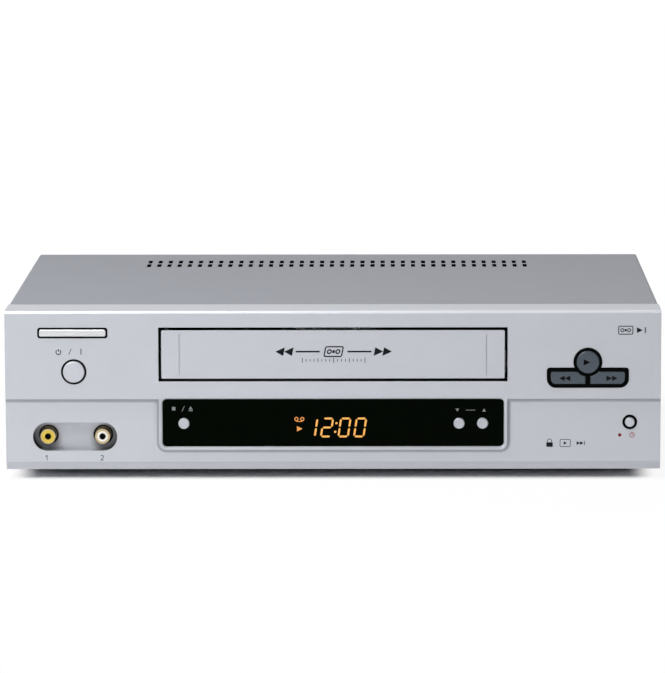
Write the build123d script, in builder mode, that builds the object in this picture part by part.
from build123d import *
import os
from math import atan2, cos, hypot, pi, radians, sin

os.makedirs("parts", exist_ok=True)

# A front-loading video cassette recorder. Millimetres, +Z up, the front faces -Y.
# The origin is the centre of the footprint, on the surface that the feet stand on.

# ---------------------------------------------------------------- driving sizes
# Clearances
fit = 0.1                   # between pieces that seat in each other
gap = 0.3                   # between pieces that move past each other
shaft_fit = 0.05            # a shaft in its bore
root = 0.5                  # how far an added form is rooted in the one it joins
past = 1.0                  # how far a cut runs past the surface it opens

# Case
case_width = 360.0
case_height = 88.4          # the body, without the feet
case_depth = 256.0          # front face to the back edge of the cover
foot_height = 5.6
foot_radius = 12.0
foot_side = 30.0            # foot centre to the side of the case
foot_front = 52.0           # front feet behind the face
foot_back = 22.0            # rear feet in front of the cover's back edge
foot_draft = 6.0            # degrees
sheet = 0.8                 # cover steel
back_sheet = 1.0            # rear panel steel
cover_bend = 1.6
cover_skirt = 1.4           # lower edge of the cover above the case bottom
cover_lip = 8.0             # fold down the back
cover_side_gap = 0.4        # cover to tray
vent_pitch = 6.0
vent_columns = 38
vent_width = 2.4
vent_length = 12.6
vent_row_pitch = 17.0
vent_row_setback = 37.0     # rear row to the back edge of the cover

# Tray
tray_wall = 2.0
tray_side = 14.0            # height of the side walls
tray_back_gap = 0.3         # back wall to the rear panel
tray_corner = 12.0          # length of full back wall left at each corner
tray_slot_length = 14.0
tray_slot_width = 2.0
tray_slot_pitch_x = 22.0
tray_slot_pitch_y = 9.0
tray_slot_columns = 9
tray_slot_rows = 3
hook_width = 14.0
hook_reach = 9.0            # into the front panel
pillar_radius = 5.0
pillar_side = 92.0          # deck pillar to the middle
pillar_inset = 8.0          # deck pillar to the front and back edges of the deck
post_radius = 4.0
post_inset = 12.0           # board post to the tray's edges

# Front panel
panel_depth = 28.5
panel_wall = 2.5
panel_edge = 1.9            # rounding of the top front edge
step_depth = 1.8            # the lower face lies this far behind the upper one
step_height = 39.65         # above the case bottom
cove_height = 3.0           # soft shoulder below the step
chin_height = 4.6
chin_setback = 2.6
island_width = 191.2
island_bottom = 11.4        # above the case bottom
island_corner = 3.9
island_cove = 2.6           # soft shoulder round the island
boss_radius = 3.0
boss_bore = 1.0
boss_grip = 6.0             # depth of the screw hole
boss_side = 10.5            # outer bosses to the side of the case
boss_high = 62.0            # above the case bottom
boss_low = 14.0
boss_slot = 13.0            # upper inner bosses to the cassette slot
boss_island = 3.0           # lower inner bosses to the island
tongue_side = 12.0
tongue_reach = 5.0
tongue_root = 4.0
tongue_thickness = 1.4

# Cassette, its slot and the door
cassette_width = 187.0
cassette_height = 25.0
cassette_depth = 103.0
slot_side = 2.3             # slot past the cassette, each side
slot_over = 4.0             # slot above the cassette
slot_under = 0.9
slot_top_drop = 9.1         # slot's top edge below the case top
pivot_wall = 1.8
tunnel_depth = 8.0          # walls round the slot, behind the panel
door_gap = 1.6
door_thickness = 2.0
door_corner = 0.8
door_setback = 4.7          # hinge axis behind the face
door_clear = 0.4            # underside of the open door above the cassette
door_pin_radius = 1.2
arm_thickness = 1.3
arm_root = 1.8              # arm inside the end of the door
arm_drop = 14.0             # how far the arms reach below the hinge
arm_setback = 1.6           # front of the arm behind the face
arm_depth = 2.4
arm_boss = 1.9
arm_neck = 5.0              # height over which the arm widens to its boss
groove_side = 9.9           # groove to the end of the door
groove_width = 0.4
groove_depth = 0.3
rib_side = 6.2              # stiffening rib to the end of the door
rib_depth = 0.8
rib_height = 1.2
rib_inset = 2.0
left_pin_reach = 7.8        # left pivot pin past the slot, long enough for the spring
right_pin_reach = 3.2
spring_wire = 0.25          # radius
spring_pitch = 1.0
spring_turns = 4

# Display window and its three buttons
window_width = 187.4
window_height = 26.2
window_bottom = 13.3        # above the case bottom
window_thickness = 2.2
window_corner = 2.4
window_sink = 0.5           # front of the window behind the face
window_bevel = 1.0          # width of the sloped edge round it
ledge = 2.3
small_button_radius = 3.0
small_button_z = 26.0       # above the case bottom
small_button_stand = 0.9
stop_x = -82.0
channel_down_x = 69.2
channel_up_x = 82.1
tube_width = 88.0
tube_height = 19.0
tube_depth = 5.5
tube_gap = 3.0              # display glass behind the window
carrier_width = 76.0
carrier_height = 14.0

# Standby, play cluster and record
button_stand = 1.2          # how far the round buttons stand out of the front
button_gap = 0.2            # round every button
button_crown = 0.72         # rounding of the rim
flange_reach = 1.1
flange_thickness = 1.2
stem_radius = 1.6
travel = 0.8                # of every button
standby_side = 37.7         # centre to the side of the case
standby_z = 54.8            # above the case bottom
standby_radius = 5.9
standby_hole = 6.75
play_side = 40.15
play_z = 60.0
play_radius = 6.25
play_ring = 7.85
wings_width = 44.9
wings_height = 11.0
wings_bottom = 45.8
wings_low_corner = 4.9
wings_high_corner = 1.6
wings_bar = 2.7             # between the two wing buttons
wing_rim = 2.1              # black edge round the wing buttons
wing_stand = 0.9
wing_inner_corner = 0.5
wing_outer_corner = 1.2
wing_chamfer = 0.35
wing_flange_half = 8.4
wing_flange_low = 1.0       # above the bottom of the wings
wing_flange_high = 4.6
surround_stand = 0.2
surround_flange = 1.0
surround_flange_reach = 1.2
record_side = 16.9
record_z = 26.4
record_radius = 2.65
record_ring = 4.07

# Front jacks
jack_spacing = 30.0
jack_side = 38.0            # middle of the pair to the side of the case
jack_z = 18.5               # above the case bottom
jack_radius = 4.15
jack_bore = 1.6
jack_bore_depth = 8.0
jack_root = 4.6             # shoulder of the barrel, in its hole
jack_setback = 0.9          # tip of the barrel behind the lower face
jack_block = 5.5            # half width of the moulded block behind it
jack_block_low = 7.0
jack_block_high = 6.0
recess_width = 46.3
recess_height = 15.8
recess_depth = 8.0
recess_wall = 1.6
well_radius = 5.4
well_depth = 9.0

# Boards
board_thickness = 1.6
board_lift = 4.8            # main board above the case bottom
board_margin = 2.0          # main board to the tray walls
front_board_setback = 16.5  # front board behind the face
front_board_side = 3.0      # front board to the panel's side walls
front_board_low = 6.0       # above the case bottom
front_board_high = 70.0
front_board_slot_side = 8.0
front_board_slot_drop = 6.0
switch_side = 6.0
switch_height = 3.5
plunger_radius = 1.7
plunger_height = 1.2
board_screw_radius = 1.15
board_screw_head = 2.6
board_screw_head_height = 1.6
board_screw_grip = 2.0      # into the tray post
cover_screw_radius = 1.2
cover_screw_head = 3.0
cover_screw_head_height = 1.8
cover_screw_spread = 0.85   # of the half width

# Back
bay_depth = 37.9            # behind the deck, for the sockets
bay_gap = 4.0               # deck to the things in the bay
back_gap = 2.4              # socket bodies to the rear panel
inlet_side = 32.0
inlet_width = 24.0
inlet_height = 16.0
inlet_depth = 16.0
inlet_lift = 12.0           # middle above the main board
inlet_stand = 0.6
inlet_foot_side = 2.0
inlet_well_width = 18.0
inlet_well_height = 9.6
inlet_well_depth = 12.0
inlet_pin_radius = 1.2
inlet_pin_x = 4.3
inlet_pin_setback = 3.0
tuner_side = 38.0
tuner_width = 44.0
tuner_height = 48.0
socket_reach = 13.0         # how far the aerial sockets stand out of the back
aerial_low = 14.0           # above the main board
aerial_high = 38.0
aerial_radius = 4.75
aerial_collar = 1.2
aerial_length = 9.0
aerial_bore = 3.9
aerial_bore_depth = 8.0
aerial_pin = 1.1
scart_width = 47.0
scart_height = 12.6
scart_lift = 10.0           # middle above the main board
scart_reach = 6.0           # past the back edge of the cover
scart_rim = 1.5
scart_well = 9.0
scart_pitch = 54.0
scart_gap = 12.5            # to the tuner
scart_tongue_half = 20.0
scart_tongue_height = 4.4
scart_tongue_reach = 4.0
rear_jack_gap = 55.0        # from the nearer socket
rear_jack_low = 9.0         # above the main board
rear_jack_high = 25.0
rear_jack_half = 6.0
rear_jack_crest = 7.0
rear_jack_length = 8.2
rear_jack_shoulder = 0.4
middle_post_gap = 19.0      # middle board posts from the rear jacks
grille_x = -60.0
grille_drop = 24.0          # below the case top
grille_slots = 20
grille_pitch = 5.0
grille_width = 2.0
grille_length = 22.0

# Parts on the main board, placed from the middle of the bays beside the deck
transformer_setback = 102.0
transformer_base = 4.0
transformer_base_half = 17.0
transformer_base_length = 36.0
transformer_foot = 12.0
transformer_foot_half = 15.0
transformer_foot_length = 32.0
transformer_height = 34.0
core_half = 19.0
core_length = 24.0
coil_half = 13.0
coil_length = 34.0
reservoir_radius = 9.0
reservoir_height = 30.0
reservoir_x = -12.0
filter_radius = 5.5
filter_height = 20.0
filter_x = 10.0
capacitor_front_setback = 58.0
capacitor_rear_setback = 186.0
capacitor_groove_low = 1.5
capacitor_groove = 0.8
capacitor_groove_depth = 0.5
sink_setback = 140.0
sink_half = 22.0
sink_plate = 3.0
sink_height = 45.0
sink_fins = 8
sink_fin_pitch = 5.2
sink_fin = 1.4
sink_fin_depth = 13.0
sink_fin_low = 4.0
chip_height = 3.4
square_chip = 19.0
long_chip_width = 9.0
long_chip_length = 32.0
first_chip_setback = 79.0
chip_pitch = 34.0

# Tape deck
deck_lift = 18.4            # underside of the deck above the case bottom
deck_thickness = 1.5
deck_setback = 30.0         # front edge of the deck behind the face
deck_flange = 6.0           # deck past the lift frame
deck_window_side = 14.0
deck_window_width = 12.0
deck_window_length = 22.0
wheel_lift = 1.8            # drive wheels above the deck
wheel_height = 3.6
reel_spacing = 92.0
reel_radius = 19.5
reel_pin = 1.5
reel_seat_radius = 10.5
reel_seat_height = 3.0
spindle_radius = 6.3
spindle_top = 22.5          # above the deck
spindle_crown = 1.5
spindle_key = 1.6
spindle_key_reach = 2.2
spindle_key_drop = 2.0
drum_radius = 31.0
drum_tilt = 5.9
drum_lift = 6.0
drum_foot = 12.0
drum_foot_plate = 2.0
drum_foot_inset = 7.0
drum_foot_arm = 14.0
drum_shaft = 2.5
lower_drum_height = 12.0
upper_drum_height = 17.0
drum_rim = 4.0
drum_hub = 9.0
drum_dish = 3.0
drum_hole_radius = 4.5
drum_hole_circle = 17.0
head_gap_depth = 3.0
head_gap_width = 5.0
head_gap_height = 2.4
head_angle = 20.0
clutch_radius = 9.85
idler_radius = 11.85
idler_arm_half = 3.0
idler_arm_end = 4.0
idler_arm_thickness = 1.5
pulley_radius = 14.0
pulley_drop = 1.8           # pulleys below the deck
pulley_thickness = 3.0
belt_thickness = 1.0
belt_width = 2.0
capstan_radius = 1.5
capstan_height = 30.0       # above the deck
capstan_pulley = 9.0
flywheel_radius = 25.0
flywheel_rim = 4.0
flywheel_web = 1.5
flywheel_hub = 8.0
bearing_flange = 9.0
bearing_height = 6.0
bush_radius = 4.0
bush_drop = 1.2             # bushes below the deck
stud = 2.0
roller_radius = 7.0
roller_height = 18.0
pinch_lift = 6.6
pinch_thickness = 2.4
pinch_end = 3.4
lever_boss = 4.5
tension_lift = 2.6
tension_thickness = 2.0
tension_end = 2.5
lever_stud = 6.0
guide_stroke = 65.7
guide_pin = 2.0
guide_slot_fit = 0.15
guide_foot_radius = 4.8
guide_foot_height = 2.8
guide_under_radius = 3.8
guide_under = 1.6
guide_post = 1.5
guide_height = 26.0
guide_roller = 3.0
guide_roller_low = 7.0
guide_roller_high = 23.0
guide_cap = 2.6
guide_cap_height = 1.5
module = 0.8
tooth_root = 1.1            # modules below the pitch line
tooth_tip = 0.75            # modules above it
tooth_foot = 0.27           # half width at the root, of the pitch
tooth_crest = 0.11          # half width at the tip, of the pitch
cam_teeth = 40
motor_teeth = 10
lift_teeth = 18
cam_track_outer = 12.5
cam_track_inner = 10.0
cam_track_depth = 1.4
cam_notch_width = 6.0
cam_notch_length = 8.0
motor_radius = 10.0
motor_shaft = 1.0
motor_boss = 3.0
motor_stand = 1.0
head_height = 26.0
head_base = 3.0
erase_half = 6.0
erase_depth = 8.0
erase_foot = 9.0
audio_half = 5.0
audio_depth = 8.0

# Places on the deck: X from the middle, Y from the inner edge of the seated cassette
clutch_place = (0.0, -32.0)
reel_back = 52.0
drum_place = (-4.0, 44.0)
capstan_place = (52.0, 20.0)
cam_place = (76.0, 50.0)
mesh_angle = 143.13         # direction of the motor from the cam gear
pinch_place = (76.0, 14.0)
roller_place = (58.0, 3.0)
tension_place = (-78.0, 6.0)
tension_post_place = (-47.0, -5.0)
erase_place = (-60.0, 30.0)
audio_place = (46.5, 36.0)
guide_reach = 27.0          # first place of the tape guides, beside the drum's middle
guide_back = 6.0
guide_lean = 13.2           # degrees, of their slots

# Cassette lift
lift_sheet = 1.2
holder_length = 54.0
holder_setback = 35.4       # front edge of the holder behind the face
holder_over = 1.9           # holder's top above the cassette
shelf_width = 14.0
stop_height = 14.0
side_gap = 1.1              # cassette to holder wall
cheek_gap = 2.6             # holder wall to carriage
frame_gap = 1.4             # carriage to frame
seat_height = 9.7           # cassette bottom above the deck when it is down
lift_pin = 2.0
lift_pin_proud = 0.6
carriage_rise = 9.0         # lower edge of the carriage above the seated cassette's bottom
carriage_over = 2.3         # upper edge above the slot
carriage_pin_rise = 16.0
carriage_pin_inset = 4.5
carriage_bridge_front = 28.0
carriage_bridge_back = 6.0
holder_pin_drop = 9.0
holder_pin_inset = 12.0
frame_lead = 0.5            # front of the frame before the holder
frame_tail = 14.0           # frame behind the seated cassette
frame_over = 0.6            # frame's roof above the carriage
frame_roof = 12.0
frame_window_length = 60.0
frame_window_height = 14.0
rack_setback = 3.0          # pinion in front of the holder's back edge
pinion_boss = 4.0
holder_hole_width = 40.0
holder_hole_length = 34.0
holder_hole_corner = 4.0
holder_hole_pitch = 55.0

# ---------------------------------------------------------------- derived places
half_width = case_width / 2
case_bottom = foot_height
case_top = foot_height + case_height
full_depth = button_stand + case_depth + socket_reach
face_y = button_stand - full_depth / 2
rear_y = face_y + case_depth
socket_tip = rear_y + socket_reach

panel_back = face_y + panel_depth
lower_face_y = face_y + step_depth
inner_upper_y = face_y + panel_wall
inner_lower_y = lower_face_y + panel_wall
step_z = case_bottom + step_height

slot_width = cassette_width + 2 * slot_side
slot_half = slot_width / 2
slot_top = case_top - slot_top_drop
slot_height = cassette_height + slot_over + slot_under
slot_bottom = slot_top - slot_height
cassette_low = slot_bottom + slot_under
cassette_high = cassette_low + cassette_height
door_width = slot_width - 2 * door_gap
door_height = slot_height - 2 * door_gap
door_half = door_width / 2
hinge_y = face_y + door_setback
hinge_z = cassette_high + door_clear + door_setback

window_z = case_bottom + window_bottom + window_height / 2
window_y = face_y + window_sink
window_back = window_y + window_thickness
small_z = case_bottom + small_button_z
standby_x = -half_width + standby_side
standby_centre_z = case_bottom + standby_z
play_x = half_width - play_side
play_centre_z = case_bottom + play_z
wings_z = case_bottom + wings_bottom
record_x = half_width - record_side
record_centre_z = case_bottom + record_z
jack_mid_x = -half_width + jack_side
jack_centre_z = case_bottom + jack_z
jack_xs = (jack_mid_x - jack_spacing / 2, jack_mid_x + jack_spacing / 2)
jack_y = lower_face_y + jack_setback
cup_back = lower_face_y + well_depth + pivot_wall

board_bottom = case_bottom + board_lift
board_top = board_bottom + board_thickness
front_board_y = face_y + front_board_setback
stem_end_y = front_board_y - switch_height - plunger_height - travel - shaft_fit

tray_x = half_width - sheet - cover_side_gap
tray_front = panel_back + gap
tray_back = rear_y - sheet - back_sheet - tray_back_gap
body_back = tray_back - back_gap                        # back of the socket bodies
deck_front = face_y + deck_setback
deck_rear = tray_back - bay_depth - bay_gap
bay_front = deck_rear + bay_gap
deck_bottom = case_bottom + deck_lift
deck_top = deck_bottom + deck_thickness
wheel_z = deck_top + wheel_lift
wheel_top = wheel_z + wheel_height
seat_z = deck_top + seat_height
seat_back = deck_front + cassette_depth                 # inner edge of the seated cassette

holder_front = face_y + holder_setback
holder_back = holder_front + holder_length
holder_wall_x = cassette_width / 2 + side_gap
cheek_x = holder_wall_x + lift_sheet + cheek_gap
frame_x = cheek_x + lift_sheet + frame_gap
deck_half = frame_x + lift_sheet + deck_flange
lift_drop = cassette_low - seat_z
lift_stroke = seat_back - (holder_back - lift_sheet)    # takes the cassette over the reels

tuner_x = half_width - tuner_side
aerial_zs = (board_top + aerial_low, board_top + aerial_high)
near_scart_x = tuner_x - tuner_width / 2 - scart_gap - scart_width / 2
scart_xs = (near_scart_x - scart_pitch, near_scart_x)
scart_z = board_top + scart_lift
rear_jack_x = scart_xs[0] - rear_jack_gap
rear_jack_zs = (board_top + rear_jack_low, board_top + rear_jack_high)
inlet_x = -half_width + inlet_side
inlet_z = board_top + inlet_lift
middle_post_x = rear_jack_x + middle_post_gap

clutch_at = (clutch_place[0], seat_back + clutch_place[1])
idler_at = (clutch_place[0], clutch_at[1] - clutch_radius - idler_radius - gap)
reel_points = [(side * reel_spacing / 2, seat_back - reel_back) for side in (-1, 1)]
drum_at = (drum_place[0], seat_back + drum_place[1])
capstan_at = (capstan_place[0], seat_back + capstan_place[1])
cam_at = (cam_place[0], seat_back + cam_place[1])
mesh = (cam_teeth + motor_teeth) * module / 2 + fit
motor_at = (cam_at[0] + mesh * cos(radians(mesh_angle)), cam_at[1] + mesh * sin(radians(mesh_angle)))
pinch_pivot = (pinch_place[0], seat_back + pinch_place[1])
roller_at = (roller_place[0], seat_back + roller_place[1])
tension_pivot = (tension_place[0], seat_back + tension_place[1])
tension_post = (tension_post_place[0], seat_back + tension_post_place[1])
erase_at = (erase_place[0], seat_back + erase_place[1])
audio_at = (audio_place[0], seat_back + audio_place[1])
guide_angle = {"supply_guide": 90 + guide_lean, "takeup_guide": 90 - guide_lean}
guide_start = {
    "supply_guide": (drum_at[0] - guide_reach, seat_back - guide_back),
    "takeup_guide": (drum_at[0] + guide_reach, seat_back - guide_back),
}

carriage_low = seat_z + carriage_rise
rack_y = holder_back - rack_setback
lift_axis_z = carriage_low - lift_teeth * module / 2 - fit


def facing(y):
    """The plane at this depth, seen from the front: sketch X is X and sketch Y is Z."""
    return Plane.XZ.offset(-y)


def across(x):
    """The plane at this X: sketch X is Y and sketch Y is Z."""
    return Plane.YZ.offset(x)


def level(z):
    """The horizontal plane at this height."""
    return Plane.XY.offset(z)


def disc(x, y, low, high, radius, mode=Mode.ADD):
    """An upright cylinder in the open part."""
    with BuildSketch(level(low)) as outline:
        with Locations((x, y)):
            Circle(radius)
    extrude(outline.sketch, amount=high - low, mode=mode)


def rod(x, z, front, back, radius, mode=Mode.ADD):
    """A cylinder along Y in the open part."""
    with BuildSketch(facing(front)) as outline:
        with Locations((x, z)):
            Circle(radius)
    extrude(outline.sketch, amount=front - back, mode=mode)


def cross_pin(y, z, left, right, radius, mode=Mode.ADD):
    """A cylinder along X in the open part."""
    with BuildSketch(across(left)) as outline:
        with Locations((y, z)):
            Circle(radius)
    extrude(outline.sketch, amount=right - left, mode=mode)


def block(x0, x1, y0, y1, z0, z1, mode=Mode.ADD):
    """A box between two corners in the open part."""
    with Locations(((x0 + x1) / 2, (y0 + y1) / 2, (z0 + z1) / 2)):
        Box(x1 - x0, y1 - y0, z1 - z0, mode=mode)


def rounded_outline(x0, x1, z0, z1, low_radius, high_radius):
    """A rectangle with its own radii for the lower and the upper corners, in the open sketch."""
    with BuildLine() as outline:
        FilletPolyline(
            (x0, z0), (x1, z0), (x1, z1), (x0, z1),
            radius=[low_radius, low_radius, high_radius, high_radius],
            close=True,
        )
    make_face(outline.edges())


def toothed_disc(teeth, first_angle):
    """Outline of a spur gear in the open sketch, with one tooth at first_angle."""
    pitch_radius = teeth * module / 2
    foot = pitch_radius - tooth_root * module
    tip = pitch_radius + tooth_tip * module
    foot_half = tooth_foot * pi * module
    tip_half = tooth_crest * pi * module
    Circle(foot)
    with PolarLocations(0, teeth, start_angle=first_angle):
        Polygon(
            (foot - fit, -foot_half), (tip, -tip_half), (tip, tip_half), (foot - fit, foot_half),
            align=None,
        )


def save(part, name):
    """Labels a finished piece and writes its file."""
    part.label = name
    export_step(part, f"parts/{name}.step")


# ---------------------------------------------------------------- case
pillar_points = [
    (side * pillar_side, y)
    for side in (-1, 1)
    for y in (deck_front + pillar_inset, deck_rear - pillar_inset)
]
board_posts = [
    (x, y)
    for x in (-tray_x + post_inset, middle_post_x, tray_x - post_inset)
    for y in (tray_front + post_inset, tray_back - post_inset)
]

with BuildPart() as chassis_tray:
    block(-tray_x, tray_x, tray_front, tray_back, case_bottom, case_bottom + tray_side)
    block(
        -tray_x + tray_wall, tray_x - tray_wall, tray_front + tray_wall, tray_back - tray_wall,
        case_bottom + tray_wall, case_bottom + tray_side, mode=Mode.SUBTRACT,
    )
    # The back wall stays low, under the sockets
    block(
        -tray_x + tray_corner, tray_x - tray_corner, tray_back - tray_wall - past, tray_back + past,
        board_bottom, case_bottom + tray_side + past, mode=Mode.SUBTRACT,
    )
    for x, y in pillar_points:
        disc(x, y, case_bottom + tray_wall, deck_bottom, pillar_radius)
    for x, y in board_posts:
        disc(x, y, case_bottom + tray_wall, board_bottom, post_radius)
        disc(x, y, case_bottom + tray_wall, board_bottom, board_screw_radius + shaft_fit, Mode.SUBTRACT)
    # Hooks that hold the front panel
    hook_low = case_bottom + panel_wall + gap
    for x in (-half_width * 0.8, -half_width * 0.3, half_width * 0.3, half_width * 0.8):
        block(
            x - hook_width / 2, x + hook_width / 2, panel_back - hook_reach, tray_front + tray_wall,
            hook_low, hook_low + tray_wall,
        )
    with BuildSketch(level(case_bottom)):
        with GridLocations(tray_slot_pitch_x, tray_slot_pitch_y, tray_slot_columns, tray_slot_rows):
            Rectangle(tray_slot_length, tray_slot_width)
    extrude(amount=tray_wall, mode=Mode.SUBTRACT)
save(chassis_tray.part, "chassis_tray")

screw_z = case_top - cover_lip / 2
screw_xs = (-half_width * cover_screw_spread, 0, half_width * cover_screw_spread)
with BuildPart() as top_cover:
    with BuildSketch(facing(panel_back + gap)):
        with BuildLine():
            FilletPolyline(
                (-half_width, case_bottom + cover_skirt), (-half_width, case_top),
                (half_width, case_top), (half_width, case_bottom + cover_skirt),
                radius=cover_bend,
            )
            offset(amount=-sheet, side=Side.RIGHT)
        make_face()
    extrude(amount=-(rear_y - panel_back - gap))
    block(
        -half_width + cover_bend, half_width - cover_bend, rear_y - sheet, rear_y,
        case_top - cover_lip, case_top - sheet / 2,
    )
    with BuildSketch(level(case_top)):
        with Locations((0, rear_y - vent_row_setback - vent_row_pitch / 2)):
            with GridLocations(vent_pitch, vent_row_pitch, vent_columns, 2):
                Rectangle(vent_width, vent_length)
    extrude(amount=-sheet, mode=Mode.SUBTRACT)
    for x in screw_xs:
        rod(x, screw_z, rear_y - sheet, rear_y, cover_screw_radius + gap, Mode.SUBTRACT)
save(top_cover.part, "top_cover")

with BuildPart() as feet:
    with BuildSketch():
        for y in (face_y + foot_front, rear_y - foot_back):
            with Locations((-half_width + foot_side, y), (half_width - foot_side, y)):
                Circle(foot_radius)
    extrude(amount=foot_height, taper=foot_draft)
save(feet.part, "feet")

# ---------------------------------------------------------------- front panel
board_bosses = [
    (side * x, case_bottom + z)
    for side in (-1, 1)
    for x, z in (
        (half_width - boss_side, boss_high),
        (slot_half + boss_slot, boss_high),
        (island_width / 2 + boss_island, boss_low),
    )
]


def cluster_outline(grow):
    """The play ring and the two wings below it, in the open sketch."""
    with Locations((play_x, play_centre_z)):
        Circle(play_ring + grow)
    rounded_outline(
        play_x - wings_width / 2 - grow, play_x + wings_width / 2 + grow,
        wings_z - grow, wings_z + wings_height + grow,
        wings_low_corner + grow, wings_high_corner + grow,
    )


def wing_outline(side, grow):
    """One wing button: its outer lower corner is wide, and the play ring cuts its inner upper one."""
    inner = play_x + side * (wings_bar / 2 - grow)
    outer = play_x + side * (wings_width / 2 - wing_rim + grow)
    low = wings_z + wing_rim - grow
    high = wings_z + wings_height - wing_rim + grow
    corners = [
        wing_inner_corner, wings_low_corner - wing_rim + grow, wing_outer_corner, wing_inner_corner,
    ]
    with BuildLine() as outline:
        FilletPolyline((inner, low), (outer, low), (outer, high), (inner, high), radius=corners, close=True)
    make_face(outline.edges())
    with Locations((play_x, play_centre_z)):
        Circle(play_ring - grow, mode=Mode.SUBTRACT)


with BuildPart() as front_panel:
    # The face in profile: upper face, cove, lower face and the chin below it
    with BuildSketch(across(-half_width)):
        with BuildLine():
            Polyline(
                (lower_face_y, step_z - cove_height),
                (lower_face_y, case_bottom + chin_height),
                (lower_face_y + chin_setback, case_bottom),
                (panel_back, case_bottom),
                (panel_back, case_top),
                (face_y, case_top),
                (face_y, step_z),
            )
            TangentArc((lower_face_y, step_z - cove_height), (face_y, step_z), tangent=(0, 1))
        make_face()
    extrude(amount=case_width)
    top_edge = front_panel.edges().filter_by(Axis.X).sort_by(Axis.Z)[-2:].sort_by(Axis.Y)[0]
    fillet(top_edge, radius=panel_edge)
    # The raised island round the display, with a cove down its sides and along its bottom
    island_low = case_bottom + island_bottom
    with BuildSketch(facing(lower_face_y)):
        rounded_outline(
            -island_width / 2, island_width / 2, island_low, step_z + past, island_corner, root
        )
    extrude(amount=step_depth)
    with BuildLine(facing(lower_face_y)) as island_edge:
        FilletPolyline(
            (-island_width / 2, step_z + past), (-island_width / 2, island_low),
            (island_width / 2, island_low), (island_width / 2, step_z + past),
            radius=island_corner,
        )
    with BuildSketch(Plane(origin=island_edge.line @ 0, x_dir=(-1, 0, 0), z_dir=(0, 0, -1))) as cove:
        with BuildLine() as cove_edge:
            Polyline(
                (0, -step_depth), (-root, -step_depth), (-root, root), (island_cove, root), (island_cove, 0)
            )
            TangentArc((island_cove, 0), (0, -step_depth), tangent=(-1, 0))
        make_face(cove_edge.edges())
    sweep(cove.sketch, path=island_edge.line)
    # Hollow from the back
    with BuildSketch(across(-half_width + panel_wall)):
        with BuildLine():
            Polyline(
                (panel_back, case_bottom + panel_wall),
                (inner_lower_y, case_bottom + panel_wall),
                (inner_lower_y, step_z + panel_wall),
                (inner_upper_y, step_z + panel_wall),
                (inner_upper_y, case_top - panel_wall),
                (panel_back, case_top - panel_wall),
                close=True,
            )
        make_face()
    extrude(amount=case_width - 2 * panel_wall, mode=Mode.SUBTRACT)
    # Cassette slot, with the side walls that carry the door's pivots
    wall_front = inner_upper_y - root
    wall_back = inner_upper_y + tunnel_depth
    wall_half = slot_half + pivot_wall
    for side in (-1, 1):
        near, far = sorted((side * slot_half, side * wall_half))
        block(near, far, wall_front, wall_back, slot_bottom - pivot_wall, case_top - panel_wall + root)
    block(-wall_half, wall_half, wall_front, wall_back, slot_bottom - pivot_wall, slot_bottom)
    block(
        -slot_half, slot_half, face_y - past, inner_upper_y + root,
        slot_bottom, slot_top, mode=Mode.SUBTRACT,
    )
    cross_pin(
        hinge_y, hinge_z, -wall_half - past, wall_half + past,
        door_pin_radius + shaft_fit, mode=Mode.SUBTRACT,
    )
    # Seat, sloped edge and opening of the display window
    with BuildSketch(facing(face_y)):
        with Locations((0, window_z)):
            RectangleRounded(window_width + 2 * fit, window_height + 2 * fit, window_corner)
    extrude(amount=-(window_sink + window_thickness + fit), mode=Mode.SUBTRACT)
    seat_edges = front_panel.edges(Select.LAST).filter_by(
        lambda edge: abs(edge.center().Y - face_y) < fit
    )
    front_face = front_panel.faces().sort_by(Axis.Y)[0]
    chamfer(seat_edges, length=window_bevel, length2=window_sink, reference=front_face)
    with BuildSketch(facing(face_y)):
        with Locations((0, window_z)):
            Rectangle(window_width - 2 * ledge, window_height - 2 * ledge)
    extrude(amount=-(step_depth + panel_wall + past), mode=Mode.SUBTRACT)
    # Holes for the buttons, the play surround and the record ring
    rod(standby_x, standby_centre_z, face_y - past, inner_upper_y + past, standby_hole, Mode.SUBTRACT)
    rod(record_x, record_centre_z, face_y - past, inner_lower_y + past, record_ring, Mode.SUBTRACT)
    with BuildSketch(facing(face_y)):
        cluster_outline(fit)
    extrude(amount=-(panel_wall + past), mode=Mode.SUBTRACT)
    # The jack recess: a deep capsule with a well round each jack
    with BuildSketch(facing(inner_lower_y - root)):
        with Locations((jack_mid_x, jack_centre_z)):
            SlotOverall(recess_width + 2 * recess_wall, recess_height + 2 * recess_wall)
    extrude(amount=-(root + recess_depth + recess_wall - panel_wall))
    for x in jack_xs:
        rod(x, jack_centre_z, inner_lower_y - root, cup_back, well_radius + pivot_wall)
    with BuildSketch(facing(lower_face_y)):
        with Locations((jack_mid_x, jack_centre_z)):
            SlotOverall(recess_width, recess_height)
    extrude(amount=-recess_depth, mode=Mode.SUBTRACT)
    for x in jack_xs:
        rod(x, jack_centre_z, lower_face_y, lower_face_y + well_depth, well_radius, Mode.SUBTRACT)
        rod(x, jack_centre_z, lower_face_y, cup_back + past, jack_root + fit, Mode.SUBTRACT)
    # Bosses for the front board
    for x, z in board_bosses:
        boss_front = inner_upper_y - root if z > step_z else inner_lower_y - root
        rod(x, z, boss_front, front_board_y, boss_radius)
        rod(x, z, front_board_y - boss_grip, front_board_y, boss_bore, Mode.SUBTRACT)
    # Tongue under the front edge of the cover
    tongue_high = case_top - sheet - gap
    block(
        -half_width + tongue_side, half_width - tongue_side,
        panel_back - tongue_root, panel_back + tongue_reach, tongue_high - tongue_thickness, tongue_high,
    )
save(front_panel.part, "front_panel")

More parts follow.
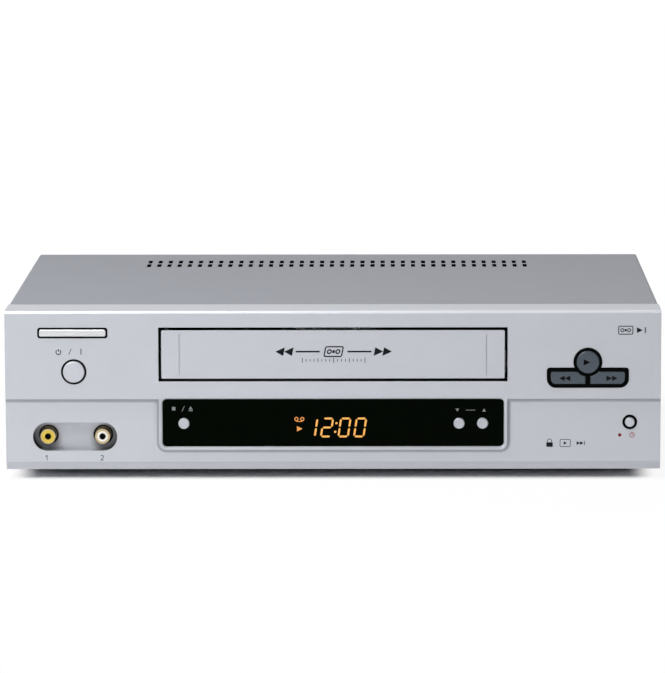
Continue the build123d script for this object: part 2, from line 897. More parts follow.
# ---------------------------------------------------------------- door
arm_x = door_half + arm_thickness
arm_front = face_y + arm_setback
arm_back = arm_front + arm_depth
with BuildPart() as cassette_door:
    with BuildSketch(facing(face_y)):
        with Locations((0, (slot_bottom + slot_top) / 2)):
            RectangleRounded(door_width, door_height, door_corner)
    extrude(amount=-door_thickness)
    door_low = slot_bottom + door_gap
    door_high = slot_top - door_gap
    for side in (-1, 1):
        groove_x = side * (door_half - groove_side)
        block(
            groove_x - groove_width / 2, groove_x + groove_width / 2, face_y, face_y + groove_depth,
            door_low + rib_inset, door_high - rib_inset, mode=Mode.SUBTRACT,
        )
    for z in (door_low + rib_inset, door_high - rib_inset):
        block(
            -door_half + rib_side, door_half - rib_side,
            face_y + door_thickness, face_y + door_thickness + rib_depth,
            z - rib_height / 2, z + rib_height / 2,
        )
    for side in (-1, 1):
        start = arm_x if side > 0 else -door_half + arm_root
        with BuildSketch(across(start)):
            with BuildLine():
                Polyline(
                    (arm_front, hinge_z - arm_drop), (arm_back, hinge_z - arm_drop),
                    (arm_back, hinge_z - arm_neck), (hinge_y + arm_boss, hinge_z),
                    (hinge_y - arm_boss, hinge_z), (hinge_y - arm_boss, hinge_z - arm_neck / 3),
                    (arm_front, hinge_z - arm_neck / 2), close=True,
                )
            make_face()
            with Locations((hinge_y, hinge_z)):
                Circle(arm_boss)
        extrude(amount=-(arm_thickness + arm_root))
    cross_pin(hinge_y, hinge_z, arm_x - root, slot_half + right_pin_reach, door_pin_radius)
    cross_pin(hinge_y, hinge_z, -slot_half - left_pin_reach, -arm_x + root, door_pin_radius)
save(cassette_door.part, "cassette_door")

# Torsion spring on the left pivot pin
spring_radius = door_pin_radius + gap + spring_wire
spring_start = -slot_half - pivot_wall - 2 * gap
with BuildPart() as door_spring:
    with BuildLine():
        coil = Helix(
            pitch=spring_pitch, height=spring_turns * spring_pitch, radius=spring_radius,
            center=(spring_start - spring_turns * spring_pitch, hinge_y, hinge_z), direction=(1, 0, 0),
        )
    with BuildSketch(Plane(origin=coil @ 0, z_dir=coil % 0)):
        RegularPolygon(spring_wire, 6)
    sweep(path=coil, is_frenet=True)
save(door_spring.part, "door_spring")

# ---------------------------------------------------------------- window, surround and buttons
window_buttons = {
    "stop_button": stop_x,
    "channel_down_button": channel_down_x,
    "channel_up_button": channel_up_x,
}
with BuildPart() as display_window:
    with BuildSketch(facing(window_y)):
        with Locations((0, window_z)):
            RectangleRounded(window_width, window_height, window_corner)
        for x in window_buttons.values():
            with Locations((x, small_z)):
                Circle(small_button_radius + button_gap, mode=Mode.SUBTRACT)
    extrude(amount=-window_thickness)
save(display_window.part, "display_window")

tube_front = window_back + tube_gap
tube_back = tube_front + tube_depth
with BuildPart() as display_tube:
    block(
        -tube_width / 2, tube_width / 2, tube_front, tube_back,
        window_z - tube_height / 2, window_z + tube_height / 2,
    )
    block(
        -carrier_width / 2, carrier_width / 2, tube_back, front_board_y - fit,
        window_z - carrier_height / 2, window_z + carrier_height / 2,
    )
save(display_tube.part, "display_tube")

surround_back = inner_upper_y + fit + surround_flange
with BuildPart() as button_surround:
    with BuildSketch(facing(face_y - surround_stand)):
        cluster_outline(0)
    extrude(amount=-(surround_back - face_y))
    with BuildSketch(facing(inner_upper_y + fit)):
        cluster_outline(surround_flange_reach)
    extrude(amount=-surround_flange)
    with BuildSketch(facing(face_y - past)):
        with Locations((play_x, play_centre_z)):
            Circle(play_radius + button_gap)
    extrude(amount=-(surround_back - face_y + 2 * past), mode=Mode.SUBTRACT)
    for side in (-1, 1):
        with BuildSketch(facing(face_y - past)):
            wing_outline(side, button_gap)
        extrude(amount=-(surround_back - face_y + 2 * past), mode=Mode.SUBTRACT)
save(button_surround.part, "button_surround")

collar_back = inner_lower_y + fit + surround_flange
with BuildPart() as record_collar:
    rod(record_x, record_centre_z, lower_face_y - surround_stand, inner_lower_y + fit, record_ring - fit)
    rod(record_x, record_centre_z, inner_lower_y + fit, collar_back, record_ring + surround_flange_reach)
    rod(
        record_x, record_centre_z, lower_face_y - past, collar_back + past,
        record_radius + button_gap, Mode.SUBTRACT,
    )
save(record_collar.part, "record_collar")


def round_button(x, z, surface, back_of_wall, radius, stand):
    """A domed cap through its hole, a retaining flange behind the wall and a stem to the switch."""
    flange_front = back_of_wall + gap
    with BuildPart() as button:
        rod(x, z, surface - stand, flange_front, radius)
        rim = button.edges().filter_by(GeomType.CIRCLE).sort_by(Axis.Y)[0]
        fillet(rim, radius=button_crown * stand / button_stand)
        rod(x, z, flange_front, flange_front + flange_thickness, radius + flange_reach)
        rod(x, z, flange_front + flange_thickness, stem_end_y, stem_radius)
    return button.part


save(
    round_button(standby_x, standby_centre_z, face_y, inner_upper_y, standby_radius, button_stand),
    "standby_button",
)
save(round_button(play_x, play_centre_z, face_y, surround_back, play_radius, button_stand), "play_button")
save(
    round_button(record_x, record_centre_z, lower_face_y, collar_back, record_radius, button_stand),
    "record_button",
)
for name, x in window_buttons.items():
    save(round_button(x, small_z, window_y, window_back, small_button_radius, small_button_stand), name)

wing_stem_x = wings_width / 4 + past
wing_stem_z = wings_z + wings_height / 2 - root
flange_back = surround_back + gap + surround_flange
for name, side in (("rewind_button", -1), ("forward_button", 1)):
    with BuildPart() as wing_button:
        with BuildSketch(facing(face_y - wing_stand)):
            wing_outline(side, 0)
        extrude(amount=-(surround_back + gap - face_y + wing_stand))
        face_rim = wing_button.faces().sort_by(Axis.Y)[0].edges()
        chamfer(face_rim, length=wing_chamfer)
        flange_x = play_x + side * (wing_stem_x + past)
        block(
            flange_x - wing_flange_half, flange_x + wing_flange_half, surround_back + gap, flange_back,
            wings_z + wing_flange_low, wings_z + wing_flange_high,
        )
        rod(play_x + side * wing_stem_x, wing_stem_z, surround_back + gap, stem_end_y, stem_radius)
    save(wing_button.part, name)

# ---------------------------------------------------------------- front board
switch_points = [
    (standby_x, standby_centre_z),
    (play_x, play_centre_z),
    (play_x - wing_stem_x, wing_stem_z),
    (play_x + wing_stem_x, wing_stem_z),
    (record_x, record_centre_z),
    (stop_x, small_z),
    (channel_down_x, small_z),
    (channel_up_x, small_z),
]
board_side = half_width - panel_wall - front_board_side
notch_side = slot_half + front_board_slot_side
notch_low = slot_bottom - front_board_slot_drop
with BuildPart() as front_board:
    with BuildSketch(facing(front_board_y)):
        with BuildLine():
            Polyline(
                (-board_side, case_bottom + front_board_low), (board_side, case_bottom + front_board_low),
                (board_side, case_bottom + front_board_high), (notch_side, case_bottom + front_board_high),
                (notch_side, notch_low), (-notch_side, notch_low),
                (-notch_side, case_bottom + front_board_high), (-board_side, case_bottom + front_board_high),
                close=True,
            )
        make_face()
        with Locations(*board_bosses):
            Circle(board_screw_radius + shaft_fit, mode=Mode.SUBTRACT)
    extrude(amount=-board_thickness)
save(front_board.part, "front_board")

plunger_root = front_board_y - switch_height
with BuildPart() as tact_switches:
    for x, z in switch_points:
        block(
            x - switch_side / 2, x + switch_side / 2, plunger_root, front_board_y,
            z - switch_side / 2, z + switch_side / 2,
        )
        rod(x, z, plunger_root - plunger_height, plunger_root, plunger_radius)
save(tact_switches.part, "tact_switches")

for name, x in (("front_video_jack", jack_xs[0]), ("front_audio_jack", jack_xs[1])):
    with BuildPart() as front_jack:
        rod(x, jack_centre_z, jack_y, lower_face_y + well_depth, jack_radius)
        rod(x, jack_centre_z, lower_face_y + well_depth, cup_back + gap, jack_root)
        block(
            x - jack_block, x + jack_block, cup_back + gap, front_board_y,
            jack_centre_z - jack_block_low, jack_centre_z + jack_block_high,
        )
        rod(x, jack_centre_z, jack_y, jack_y + jack_bore_depth, jack_bore, Mode.SUBTRACT)
    save(front_jack.part, name)

# ---------------------------------------------------------------- back
panel_front = tray_back + tray_back_gap
with BuildPart() as rear_panel:
    panel_low = case_bottom + cover_skirt
    panel_high = case_top - sheet - gap
    with BuildSketch(facing(panel_front)):
        with Locations((0, (panel_low + panel_high) / 2)):
            Rectangle(2 * tray_x, panel_high - panel_low)
        with Locations(*[(x, scart_z) for x in scart_xs]):
            Rectangle(scart_width + 2 * gap, scart_height + 2 * gap, mode=Mode.SUBTRACT)
        with Locations(*[(rear_jack_x, z) for z in rear_jack_zs]):
            Circle(jack_root + gap, mode=Mode.SUBTRACT)
        with Locations(*[(tuner_x, z) for z in aerial_zs]):
            Circle(aerial_radius + aerial_collar + gap, mode=Mode.SUBTRACT)
        with Locations((inlet_x, inlet_z)):
            Rectangle(inlet_width + 2 * gap, inlet_height + 2 * gap, mode=Mode.SUBTRACT)
        with Locations(*[(x, screw_z) for x in screw_xs]):
            Circle(cover_screw_radius + shaft_fit, mode=Mode.SUBTRACT)
        with Locations((grille_x, case_top - grille_drop)):
            with GridLocations(grille_pitch, 1, grille_slots, 1):
                Rectangle(grille_width, grille_length, mode=Mode.SUBTRACT)
    extrude(amount=-back_sheet)
save(rear_panel.part, "rear_panel")

with BuildPart() as tuner_can:
    block(
        tuner_x - tuner_width / 2, tuner_x + tuner_width / 2, bay_front, body_back,
        board_top, board_top + tuner_height,
    )
    for z in aerial_zs:
        rod(tuner_x, z, body_back - root, socket_tip - aerial_length, aerial_radius + aerial_collar)
        rod(tuner_x, z, socket_tip - aerial_length, socket_tip, aerial_radius)
    aerial_floor = socket_tip - aerial_bore_depth
    rod(tuner_x, aerial_zs[0], aerial_floor, socket_tip, aerial_bore, Mode.SUBTRACT)
    rod(tuner_x, aerial_zs[0], aerial_floor - root, socket_tip - past, aerial_pin)
    rod(tuner_x, aerial_zs[1], aerial_floor, socket_tip, aerial_pin + fit, Mode.SUBTRACT)
save(tuner_can.part, "tuner_can")

scart_front = (bay_front + body_back) / 2
scart_tip = rear_y + scart_reach
with BuildPart() as scart_sockets:
    for x in scart_xs:
        block(
            x - scart_width / 2, x + scart_width / 2, scart_front, scart_tip,
            scart_z - scart_height / 2, scart_z + scart_height / 2,
        )
        block(
            x - scart_tongue_half, x + scart_tongue_half, scart_front, body_back, board_top, scart_z
        )
        with BuildSketch(facing(scart_tip)):
            with Locations((x, scart_z)):
                Rectangle(scart_width - 2 * scart_rim, scart_height - 2 * scart_rim)
        extrude(amount=scart_well, mode=Mode.SUBTRACT)
        block(
            x - scart_tongue_half, x + scart_tongue_half,
            scart_tip - scart_well - root, rear_y + scart_tongue_reach,
            scart_z - scart_tongue_height / 2, scart_z + scart_tongue_height / 2,
        )
save(scart_sockets.part, "scart_sockets")

with BuildPart() as rear_audio_jacks:
    block(
        rear_jack_x - rear_jack_half, rear_jack_x + rear_jack_half, scart_front, body_back,
        board_top, rear_jack_zs[1] + rear_jack_crest,
    )
    barrel_root = rear_y + rear_jack_shoulder
    barrel_tip = barrel_root + rear_jack_length
    for z in rear_jack_zs:
        rod(rear_jack_x, z, body_back - root, barrel_root, jack_root)
        rod(rear_jack_x, z, barrel_root, barrel_tip, jack_radius)
        rod(rear_jack_x, z, barrel_tip - jack_bore_depth, barrel_tip, jack_bore, Mode.SUBTRACT)
save(rear_audio_jacks.part, "rear_audio_jacks")

inlet_tip = rear_y + inlet_stand
inlet_front = tray_back - inlet_depth
with BuildPart() as mains_inlet:
    block(
        inlet_x - inlet_width / 2, inlet_x + inlet_width / 2, inlet_front, inlet_tip,
        inlet_z - inlet_height / 2, inlet_z + inlet_height / 2,
    )
    block(
        inlet_x - inlet_width / 2 + inlet_foot_side, inlet_x + inlet_width / 2 - inlet_foot_side,
        inlet_front, body_back - inlet_foot_side, board_top, inlet_z,
    )
    with BuildSketch(facing(inlet_tip)):
        with Locations((inlet_x, inlet_z)):
            SlotOverall(inlet_well_width, inlet_well_height)
    extrude(amount=inlet_well_depth, mode=Mode.SUBTRACT)
    for side in (-1, 1):
        rod(
            inlet_x + side * inlet_pin_x, inlet_z,
            inlet_tip - inlet_well_depth - root, rear_y - inlet_pin_setback, inlet_pin_radius,
        )
save(mains_inlet.part, "mains_inlet")

# ---------------------------------------------------------------- main board and its parts
board_edge = tray_x - tray_wall - board_margin
board_front = tray_front + tray_wall + board_margin
board_back = tray_back - tray_wall - board_margin
with BuildPart() as main_board:
    with BuildSketch(level(board_bottom)):
        with Locations((0, (board_front + board_back) / 2)):
            Rectangle(2 * board_edge, board_back - board_front)
        with Locations(*pillar_points):
            Circle(pillar_radius + 2 * gap, mode=Mode.SUBTRACT)
        with Locations(*board_posts):
            Circle(board_screw_radius + gap, mode=Mode.SUBTRACT)
    extrude(amount=board_thickness)
save(main_board.part, "main_board")

left_bay = (-deck_half - board_edge) / 2
right_bay = (deck_half + board_edge) / 2
transformer_y = face_y + transformer_setback


def bay_block(half, length, low, high):
    """A block of the transformer, centred on its place."""
    block(
        left_bay - half, left_bay + half, transformer_y - length / 2, transformer_y + length / 2,
        board_top + low, board_top + high,
    )


with BuildPart() as power_transformer:
    bay_block(transformer_base_half, transformer_base_length, 0, transformer_base)
    bay_block(transformer_foot_half, transformer_foot_length, transformer_base, transformer_foot)
    bay_block(core_half, core_length, transformer_foot, transformer_height)
    bay_block(coil_half, coil_length, transformer_foot, transformer_height)
save(power_transformer.part, "power_transformer")

capacitor_front_y = face_y + capacitor_front_setback
capacitor_rear_y = face_y + capacitor_rear_setback
capacitors = [
    (left_bay + reservoir_x, capacitor_front_y, reservoir_radius, reservoir_height),
    (left_bay + filter_x, capacitor_front_y, filter_radius, filter_height),
    (left_bay + reservoir_x, capacitor_rear_y, reservoir_radius, reservoir_height),
    (left_bay + filter_x, capacitor_rear_y, filter_radius, filter_height),
    (right_bay + reservoir_x, capacitor_front_y - filter_x, filter_radius, filter_height),
    (right_bay + filter_x, capacitor_front_y - filter_x, filter_radius, filter_height),
]
with BuildPart() as smoothing_capacitors:
    for x, y, radius, height in capacitors:
        groove_low = board_top + capacitor_groove_low
        groove_high = groove_low + capacitor_groove
        disc(x, y, board_top, board_top + height, radius)
        disc(x, y, groove_low, groove_high, radius + past, Mode.SUBTRACT)
        disc(x, y, groove_low - root, groove_high + root, radius - capacitor_groove_depth)
save(smoothing_capacitors.part, "smoothing_capacitors")

sink_y = face_y + sink_setback
with BuildPart() as heat_sink:
    block(
        left_bay - sink_half, left_bay + sink_half, sink_y, sink_y + sink_plate,
        board_top, board_top + sink_height,
    )
    fin_height = sink_height - sink_fin_low
    fin_y = sink_y + sink_plate - root + sink_fin_depth / 2
    with Locations((left_bay, fin_y, board_top + sink_fin_low + fin_height / 2)):
        with GridLocations(sink_fin_pitch, 1, sink_fins, 1):
            Box(sink_fin, sink_fin_depth, fin_height)
save(heat_sink.part, "heat_sink")

chip_sizes = [
    (square_chip, square_chip),
    (long_chip_width, long_chip_length),
    (square_chip, square_chip),
    (long_chip_width, long_chip_length),
]
with BuildPart() as integrated_circuits:
    for row, (width, length) in enumerate(chip_sizes):
        y = face_y + first_chip_setback + row * chip_pitch
        block(
            right_bay - width / 2, right_bay + width / 2, y - length / 2, y + length / 2,
            board_top, board_top + chip_height,
        )
save(integrated_circuits.part, "integrated_circuits")


# ---------------------------------------------------------------- tape deck
def guide_slot(start, angle, width):
    """The slot that a tape guide runs in, in the open sketch."""
    middle = (
        start[0] + guide_stroke / 2 * cos(radians(angle)),
        start[1] + guide_stroke / 2 * sin(radians(angle)),
    )
    with Locations(Location((middle[0], middle[1], 0), (0, 0, angle))):
        SlotCenterToCenter(guide_stroke, width, mode=Mode.SUBTRACT)


with BuildPart() as deck_plate:
    with BuildSketch(level(deck_bottom)):
        with Locations((0, (deck_front + deck_rear) / 2)):
            Rectangle(2 * deck_half, deck_rear - deck_front)
        for name, start in guide_start.items():
            guide_slot(start, guide_angle[name], 2 * (guide_pin + guide_slot_fit))
        with Locations(capstan_at):
            Circle(bush_radius + past + fit, mode=Mode.SUBTRACT)
        with Locations(motor_at):
            Circle(motor_boss, mode=Mode.SUBTRACT)
        for side in (-1, 1):
            with Locations((side * (deck_half - deck_window_side), deck_rear - deck_window_length)):
                Rectangle(deck_window_width, deck_window_length, mode=Mode.SUBTRACT)
    extrude(amount=deck_thickness)
    # Bush of the clutch shaft
    disc(*clutch_at, deck_bottom - bush_drop, wheel_z - gap, bush_radius)
    disc(*clutch_at, deck_bottom - bush_drop - past, wheel_z + past, stud + shaft_fit, Mode.SUBTRACT)
    # Studs of the reels, the cam gear and the two levers
    for point in reel_points:
        disc(*point, deck_top, wheel_z - gap, bush_radius)
        disc(*point, deck_top, deck_top + spindle_top - spindle_key_drop - past, reel_pin)
    disc(*cam_at, deck_top, wheel_z - gap, bush_radius)
    disc(*cam_at, deck_top, wheel_top + past, stud)
    disc(*pinch_pivot, deck_top, deck_top + pinch_lift + pinch_thickness + root, stud)
    disc(*tension_pivot, deck_top, deck_top + lever_stud, stud)
save(deck_plate.part, "deck_plate")

# Head drum, tilted towards the take-up side
drum_plane = Plane(
    origin=(drum_at[0], drum_at[1], deck_top + drum_lift),
    x_dir=(cos(radians(drum_tilt)), 0, -sin(radians(drum_tilt))),
    z_dir=(sin(radians(drum_tilt)), 0, cos(radians(drum_tilt))),
)
upper_drum_low = lower_drum_height + gap
with BuildPart() as drum_base:
    with BuildSketch(level(deck_top)):
        with Locations(drum_at):
            Circle(drum_radius - drum_foot_inset)
            Rectangle(2 * drum_radius - drum_rim, drum_foot_arm)
    extrude(amount=drum_foot_plate)
    disc(*drum_at, deck_top, deck_top + drum_foot, drum_radius - drum_hub)
    with BuildSketch(drum_plane):
        Circle(drum_radius)
    extrude(amount=lower_drum_height)
    with BuildSketch(drum_plane):
        Circle(drum_shaft + shaft_fit)
    extrude(amount=lower_drum_height, mode=Mode.SUBTRACT)
save(drum_base.part, "drum_base")

with BuildPart() as head_drum:
    with BuildSketch(drum_plane.offset(upper_drum_low)):
        Circle(drum_radius)
    extrude(amount=upper_drum_height)
    with BuildSketch(drum_plane.offset(upper_drum_low + upper_drum_height)):
        Circle(drum_radius - drum_rim)
        Circle(drum_hub, mode=Mode.SUBTRACT)
        with PolarLocations(drum_hole_circle, 4):
            Circle(drum_hole_radius, mode=Mode.SUBTRACT)
    extrude(amount=-drum_dish, mode=Mode.SUBTRACT)
    with BuildSketch(drum_plane.offset(upper_drum_low)):
        with PolarLocations(drum_radius, 4, start_angle=head_angle):
            Rectangle(head_gap_depth, head_gap_width)
    extrude(amount=head_gap_height, mode=Mode.SUBTRACT)
    with BuildSketch(drum_plane.offset(upper_drum_low)):
        Circle(drum_shaft)
    extrude(amount=-(lower_drum_height - past))
save(head_drum.part, "head_drum")

# Capstan: shaft, belt pulley and flywheel in one turning piece
pulley_high = deck_bottom - pulley_drop
pulley_low = pulley_high - pulley_thickness
flywheel_low = board_top + bush_drop
with BuildPart() as capstan:
    disc(*capstan_at, flywheel_low, pulley_low, flywheel_radius)
    disc(*capstan_at, flywheel_low, pulley_low - flywheel_web, flywheel_radius - flywheel_rim, Mode.SUBTRACT)
    disc(*capstan_at, flywheel_low, pulley_low, flywheel_hub)
    disc(*capstan_at, pulley_low, pulley_high, capstan_pulley)
    disc(*capstan_at, pulley_high, deck_top + capstan_height, capstan_radius)
save(capstan.part, "capstan")

with BuildPart() as capstan_bearing:
    disc(*capstan_at, deck_top, deck_top + deck_thickness, bearing_flange)
    disc(*capstan_at, deck_bottom - bush_drop, deck_top + bearing_height, bush_radius)
    disc(
        *capstan_at, deck_bottom - bush_drop - past, deck_top + bearing_height + past,
        capstan_radius + shaft_fit, Mode.SUBTRACT,
    )
save(capstan_bearing.part, "capstan_bearing")

with BuildPart() as clutch_pulley:
    disc(*clutch_at, pulley_low, pulley_high, pulley_radius)
    disc(*clutch_at, pulley_high, wheel_top + pulley_thickness, stud)
    disc(*clutch_at, wheel_z, wheel_top, clutch_radius)
save(clutch_pulley.part, "clutch_pulley")


def belt_outline(grow):
    """Both pulleys and the straight runs between them, in the open sketch."""
    run = hypot(clutch_at[0] - capstan_at[0], clutch_at[1] - capstan_at[1])
    small = capstan_pulley + gap + grow
    large = pulley_radius + gap + grow
    lean = atan2(clutch_at[1] - capstan_at[1], clutch_at[0] - capstan_at[0])
    side_angle = pi / 2 + (large - small) / run
    corners = []
    ends = ((1, capstan_at, small), (1, clutch_at, large), (-1, clutch_at, large), (-1, capstan_at, small))
    for turn, centre, radius in ends:
        angle = lean + turn * side_angle
        corners.append((centre[0] + radius * cos(angle), centre[1] + radius * sin(angle)))
    Polygon(*corners, align=None)
    with Locations(capstan_at):
        Circle(small)
    with Locations(clutch_at):
        Circle(large)


with BuildPart() as capstan_belt:
    for grow, mode in ((belt_thickness, Mode.ADD), (0, Mode.SUBTRACT)):
        with BuildSketch(level(pulley_low + (pulley_thickness - belt_width) / 2)):
            belt_outline(grow)
        extrude(amount=belt_width, mode=mode)
save(capstan_belt.part, "capstan_belt")

arm_plate_z = wheel_top + gap + fit
with BuildPart() as idler_arm:
    with BuildSketch(level(arm_plate_z)):
        with Locations(clutch_at, idler_at):
            Circle(idler_arm_end)
        with Locations((clutch_at[0], (clutch_at[1] + idler_at[1]) / 2)):
            Rectangle(2 * idler_arm_half, clutch_at[1] - idler_at[1])
        with Locations(clutch_at):
            Circle(stud + shaft_fit, mode=Mode.SUBTRACT)
    extrude(amount=idler_arm_thickness)
    disc(*idler_at, deck_top + 2 * gap, arm_plate_z, reel_pin)
save(idler_arm.part, "idler_arm")

with BuildPart() as idler_wheel:
    disc(*idler_at, wheel_z, wheel_top, idler_radius)
    disc(*idler_at, wheel_z, wheel_top, reel_pin + shaft_fit, Mode.SUBTRACT)
save(idler_wheel.part, "idler_wheel")

spindle_low = wheel_top + reel_seat_height
spindle_high = deck_top + spindle_top
for name, point in zip(("supply_reel_table", "takeup_reel_table"), reel_points):
    with BuildPart() as reel_table:
        disc(*point, wheel_z, wheel_top, reel_radius)
        disc(*point, wheel_top, spindle_low, reel_seat_radius)
        disc(*point, spindle_low, spindle_high, spindle_radius)
        with BuildSketch(level(spindle_low)):
            with Locations(point):
                with PolarLocations(spindle_radius, 3):
                    Rectangle(2 * spindle_key_reach, spindle_key)
        extrude(amount=spindle_high - spindle_low - spindle_key_drop)
        crown = reel_table.edges().filter_by(GeomType.CIRCLE).sort_by(Axis.Z)[-1]
        chamfer(crown, length=spindle_crown)
        disc(*point, wheel_z, spindle_high - spindle_key_drop, reel_pin + shaft_fit, Mode.SUBTRACT)
    save(reel_table.part, name)

for name, start in guide_start.items():
    with BuildPart() as tape_guide:
        disc(*start, deck_bottom - guide_under, deck_bottom - gap, guide_under_radius)
        disc(*start, deck_bottom - gap, deck_top + gap, guide_pin)
        disc(*start, deck_top + gap, deck_top + guide_foot_height, guide_foot_radius)
        disc(*start, deck_top + guide_foot_height, deck_top + guide_height, guide_post)
        disc(*start, deck_top + guide_roller_low, deck_top + guide_roller_high, guide_roller)
        disc(*start, deck_top + guide_height - guide_cap_height, deck_top + guide_height, guide_cap)
    save(tape_guide.part, name)


def arm_outline(pivot, end, pivot_radius, end_radius):
    """A tapered arm between two round ends, in the open sketch."""
    lean = atan2(end[1] - pivot[1], end[0] - pivot[0])
    side_x, side_y = -sin(lean), cos(lean)
    with Locations(pivot):
        Circle(pivot_radius)
    with Locations(end):
        Circle(end_radius)
    Polygon(
        (pivot[0] + side_x * pivot_radius, pivot[1] + side_y * pivot_radius),
        (pivot[0] - side_x * pivot_radius, pivot[1] - side_y * pivot_radius),
        (end[0] - side_x * end_radius, end[1] - side_y * end_radius),
        (end[0] + side_x * end_radius, end[1] + side_y * end_radius),
        align=None,
    )


tension_low = deck_top + tension_lift
tension_high = tension_low + tension_thickness
with BuildPart() as tension_arm:
    with BuildSketch(level(tension_low)):
        arm_outline(tension_pivot, tension_post, lever_boss, tension_end)
    extrude(amount=tension_thickness)
    disc(*tension_pivot, deck_top + gap, tension_high + 2 * gap, lever_boss)
    disc(*tension_pivot, deck_top, deck_top + lever_stud, stud + shaft_fit, Mode.SUBTRACT)
    disc(*tension_post, tension_high, deck_top + guide_height, guide_post)
save(tension_arm.part, "tension_arm")

pinch_low = deck_top + pinch_lift
pinch_high = pinch_low + pinch_thickness
roller_low = pinch_high + gap
with BuildPart() as pinch_arm:
    with BuildSketch(level(pinch_low)):
        arm_outline(pinch_pivot, roller_at, lever_boss, pinch_end)
    extrude(amount=pinch_thickness)
    disc(*pinch_pivot, deck_top + gap, pinch_high, lever_boss)
    disc(*pinch_pivot, deck_top, pinch_high + past, stud + shaft_fit, Mode.SUBTRACT)
    disc(*roller_at, pinch_high, roller_low + roller_height + past, reel_pin)
save(pinch_arm.part, "pinch_arm")

with BuildPart() as pinch_roller:
    disc(*roller_at, roller_low, roller_low + roller_height, roller_radius)
    disc(*roller_at, roller_low, roller_low + roller_height, reel_pin + shaft_fit, Mode.SUBTRACT)
save(pinch_roller.part, "pinch_roller")


def head_block(centre, half, depth, low, high):
    """One block of a fixed head, centred on its place."""
    x, y = centre
    block(x - half, x + half, y - depth / 2, y + depth / 2, deck_top + low, deck_top + high)


with BuildPart() as full_erase_head:
    head_block(erase_at, erase_half, erase_depth, 0, head_height)
    head_block(erase_at, erase_foot, erase_depth, 0, head_base / 2)
save(full_erase_head.part, "full_erase_head")

with BuildPart() as audio_control_head:
    head_block(audio_at, audio_half + past, audio_depth + past, 0, head_base)
    head_block(audio_at, audio_half, audio_depth, head_base, head_height)
save(audio_control_head.part, "audio_control_head")

motor_low = board_top + motor_stand
with BuildPart() as loading_motor:
    disc(*motor_at, motor_low, deck_bottom - fit, motor_radius)
    disc(*motor_at, motor_low, deck_bottom - fit, motor_shaft + shaft_fit, Mode.SUBTRACT)
save(loading_motor.part, "loading_motor")

with BuildPart() as motor_pinion:
    with BuildSketch(Plane(origin=(motor_at[0], motor_at[1], wheel_z))):
        toothed_disc(motor_teeth, mesh_angle + 180 + 180 / motor_teeth)
    extrude(amount=wheel_height)
    disc(*motor_at, motor_low + 2 * motor_stand, wheel_z, motor_shaft)
save(motor_pinion.part, "motor_pinion")

with BuildPart() as cam_gear:
    with BuildSketch(Plane(origin=(cam_at[0], cam_at[1], wheel_z))):
        toothed_disc(cam_teeth, mesh_angle)
    extrude(amount=wheel_height)
    with BuildSketch(Plane(origin=(cam_at[0], cam_at[1], wheel_top))):
        Circle(cam_track_outer)
        Circle(cam_track_inner, mode=Mode.SUBTRACT)
        with Locations((0, -cam_track_outer)):
            Rectangle(cam_notch_width, cam_notch_length, mode=Mode.SUBTRACT)
    extrude(amount=-cam_track_depth, mode=Mode.SUBTRACT)
    disc(*cam_at, wheel_z, wheel_top, stud + shaft_fit, Mode.SUBTRACT)
save(cam_gear.part, "cam_gear")

# ---------------------------------------------------------------- cassette lift
carriage_high = slot_top + carriage_over
carriage_pin_z = carriage_low + carriage_pin_rise
holder_pin_z = cassette_high - holder_pin_drop
carriage_pin_ys = (holder_front + carriage_pin_inset, holder_back - carriage_pin_inset)
holder_pin_ys = (holder_front + holder_pin_inset, holder_back - holder_pin_inset)
pin_slot = lift_pin + fit
frame_front = holder_front - frame_lead
frame_back = seat_back + frame_tail
frame_high = carriage_high + frame_over + lift_sheet

with BuildPart() as holder_frame:
    for side in (-1, 1):
        near, far = sorted((side * frame_x, side * (frame_x + lift_sheet)))
        block(near, far, frame_front, frame_back, deck_top, frame_high)
        foot_near, foot_far = sorted((side * frame_x, side * (deck_half - past)))
        block(foot_near, foot_far, frame_front, frame_back, deck_top, deck_top + lift_sheet)
        # Slot of the carriage's pins
        slot_length = carriage_pin_ys[1] + lift_stroke - carriage_pin_ys[0]
        with BuildSketch(across(near - past)):
            with Locations((carriage_pin_ys[0] + slot_length / 2, carriage_pin_z)):
                SlotCenterToCenter(slot_length, 2 * pin_slot)
        extrude(amount=lift_sheet + 2 * past, mode=Mode.SUBTRACT)
        with BuildSketch(across(near - past)):
            with Locations(((frame_front + frame_back) / 2, carriage_pin_z - frame_window_height)):
                Rectangle(frame_window_length, frame_window_height)
        extrude(amount=lift_sheet + 2 * past, mode=Mode.SUBTRACT)
    block(
        -frame_x - fit, frame_x + fit, frame_back - frame_roof, frame_back,
        frame_high - lift_sheet, frame_high,
    )
    cross_pin(rack_y, lift_axis_z, frame_x, frame_x + lift_sheet, pinion_boss)
    cross_pin(rack_y, lift_axis_z, cheek_x - gap, frame_x + lift_sheet, reel_pin)
save(holder_frame.part, "holder_frame")

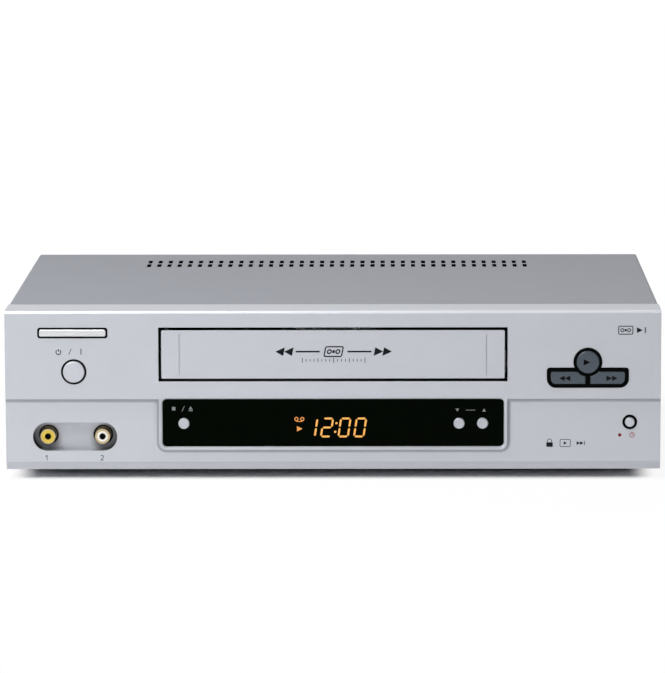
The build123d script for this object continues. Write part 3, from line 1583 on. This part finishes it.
with BuildPart() as carriage:
    rack_root = carriage_low + tooth_root * module
    rack_tip = carriage_low - tooth_tip * module
    for side in (-1, 1):
        near, far = sorted((side * cheek_x, side * (cheek_x + lift_sheet)))
        block(near, far, holder_front, holder_back, rack_root, carriage_high)
        for y in holder_pin_ys:
            with BuildSketch(across(near - past)):
                with Locations(Location((y, holder_pin_z - lift_drop / 2, 0), (0, 0, 90))):
                    SlotCenterToCenter(lift_drop, 2 * pin_slot)
            extrude(amount=lift_sheet + 2 * past, mode=Mode.SUBTRACT)
        pin_near, pin_far = sorted((side * (cheek_x + root), side * (frame_x + lift_sheet + lift_pin_proud)))
        for y in carriage_pin_ys:
            cross_pin(y, carriage_pin_z, pin_near, pin_far, lift_pin)
    block(
        -cheek_x - fit, cheek_x + fit,
        holder_front + carriage_bridge_front, holder_back - carriage_bridge_back,
        carriage_high - lift_sheet, carriage_high,
    )
    # Rack under the right cheek
    pitch = pi * module
    first = int((holder_front - rack_y) / pitch) + 1
    last = int((holder_back - rack_y) / pitch)
    with BuildSketch(across(cheek_x)):
        for tooth in range(first, last):
            y = rack_y + tooth * pitch
            Polygon(
                (y - tooth_foot * pitch, rack_root + fit), (y - tooth_crest * pitch, rack_tip),
                (y + tooth_crest * pitch, rack_tip), (y + tooth_foot * pitch, rack_root + fit),
                align=None,
            )
    extrude(amount=lift_sheet)
save(carriage.part, "carriage")

with BuildPart() as rack_pinion:
    with BuildSketch(Plane(origin=(cheek_x - gap, rack_y, lift_axis_z), x_dir=(0, 1, 0), z_dir=(1, 0, 0))):
        toothed_disc(lift_teeth, 90 + 180 / lift_teeth)
        Circle(reel_pin + shaft_fit, mode=Mode.SUBTRACT)
    extrude(amount=frame_x - cheek_x)
save(rack_pinion.part, "rack_pinion")

with BuildPart() as cassette_holder:
    plate_low = cassette_high + holder_over
    for side in (-1, 1):
        near, far = sorted((side * holder_wall_x, side * (holder_wall_x + lift_sheet)))
        block(near, far, holder_front, holder_back, cassette_low - lift_sheet, plate_low + lift_sheet)
        shelf_near, shelf_far = sorted((side * (holder_wall_x - shelf_width), side * (holder_wall_x + fit)))
        block(shelf_near, shelf_far, holder_front, holder_back, cassette_low - lift_sheet, cassette_low)
        block(
            shelf_near, shelf_far, holder_back - lift_sheet, holder_back,
            cassette_low - fit, cassette_low + stop_height,
        )
        pin_tip = cheek_x + lift_sheet + lift_pin_proud
        pin_near, pin_far = sorted((side * (holder_wall_x + root), side * pin_tip))
        for y in holder_pin_ys:
            cross_pin(y, holder_pin_z, pin_near, pin_far, lift_pin)
    block(
        -holder_wall_x - fit, holder_wall_x + fit, holder_front, holder_back,
        plate_low, plate_low + lift_sheet,
    )
    with BuildSketch(level(plate_low)):
        with Locations((0, (holder_front + holder_back) / 2)):
            with GridLocations(holder_hole_pitch, 1, 3, 1):
                RectangleRounded(holder_hole_width, holder_hole_length, holder_hole_corner)
    extrude(amount=lift_sheet, mode=Mode.SUBTRACT)
save(cassette_holder.part, "cassette_holder")

# ---------------------------------------------------------------- screws
with BuildPart() as cover_screws:
    for x in screw_xs:
        rod(x, screw_z, panel_front - past, rear_y + fit, cover_screw_radius)
        rod(x, screw_z, rear_y + fit, rear_y + cover_screw_head_height, cover_screw_head)
save(cover_screws.part, "cover_screws")

with BuildPart() as board_screws:
    head_front = front_board_y + board_thickness + fit
    for x, z in board_bosses:
        rod(x, z, front_board_y - boss_grip + past, head_front, boss_bore - shaft_fit)
        rod(x, z, head_front, head_front + board_screw_head_height, board_screw_head)
    head_low = board_top + fit
    for x, y in board_posts:
        disc(x, y, board_bottom - board_screw_grip, head_low, board_screw_radius)
        disc(x, y, head_low, head_low + board_screw_head_height, board_screw_head)
save(board_screws.part, "board_screws")
